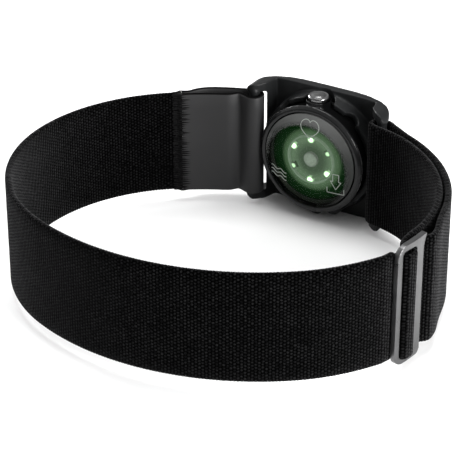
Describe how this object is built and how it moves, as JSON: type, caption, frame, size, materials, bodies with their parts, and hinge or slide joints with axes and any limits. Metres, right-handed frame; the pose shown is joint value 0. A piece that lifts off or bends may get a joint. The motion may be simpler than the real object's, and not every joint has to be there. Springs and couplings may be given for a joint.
{
  "type": "heart rate armband",
  "caption": "Optical heart-rate armband: a round sensor pod with a lit window, held in a curved clip on a woven elastic loop strap with a metal slider.",
  "frame": {"origin": "centre of the optical window's crown, on its skin side", "axes": "-Y out of the window towards the arm, +Z along the strap's width towards the side button, +X along the strap away from the smooth tab"},
  "size_m": [0.1031, 0.0933, 0.0324],
  "materials": {
    "strap": "coarse woven elastic, matt, near black",
    "tab": "smooth coated textile, soft matt, dark grey",
    "thread": "overlocked black thread",
    "holder": "moulded plastic, satin, fine grain",
    "housing": "moulded plastic, satin to semi-gloss",
    "window": "polished optical window with a dark green cast",
    "rubber": "matt black",
    "board": "green solder mask",
    "led": "clear emitter, lit pale green",
    "photodiode": "smooth grey sensor face",
    "chip": "moulded black",
    "contact": "gold plated",
    "cell": "plain metal can",
    "button": "turned metal, satin with a bright edge",
    "metal": "bead-blasted grey metal"
  },
  "bodies": {
    "root": {"holder_frame": "holder", "strap_main": "strap", "strap_lead": "strap", "strap_return": "strap", "strap_tab": "tab", "tab_stitching": "thread"},
    "pod": {"housing_front": "housing", "housing_back": "housing", "optical_window": "window", "window_seal": "rubber", "housing_seal": "rubber", "light_barrier": "rubber", "battery_pad": "rubber", "button_seal": "rubber", "optical_board": "board", "main_board": "board", "led_1": "led", "led_2": "led", "led_3": "led", "led_4": "led", "led_5": "led", "led_6": "led", "photodiode": "photodiode", "side_switch": "chip", "radio_chip": "chip", "motion_chip": "chip", "memory_chip": "chip", "antenna": "contact", "charge_contact_1": "contact", "charge_contact_2": "contact", "charge_contact_3": "contact", "charge_contact_4": "contact", "battery": "cell"},
    "button": {"button_cap": "button"},
    "slider": {"slider_frame": "metal", "strap_hump": "strap", "strap_end": "strap"}
  },
  "joints": [
    {"name": "pod_removal", "type": "slide", "parent": "root", "child": "pod", "axis": [0, -1, 0], "range_m": [0, 0.014]},
    {"name": "button_press", "type": "slide", "parent": "pod", "child": "button", "axis": [0, 0, -1], "range_m": [0, 0.0004], "stiffness_N_per_m": 300},
    {"name": "slider_travel", "type": "hinge", "parent": "root", "child": "slider", "pos_m": [0.01048, -0.0364, 0], "axis": [0, 0, 1], "range_deg": [-15, 35], "deforming": ["strap_lead", "strap_return"]}
  ]
}
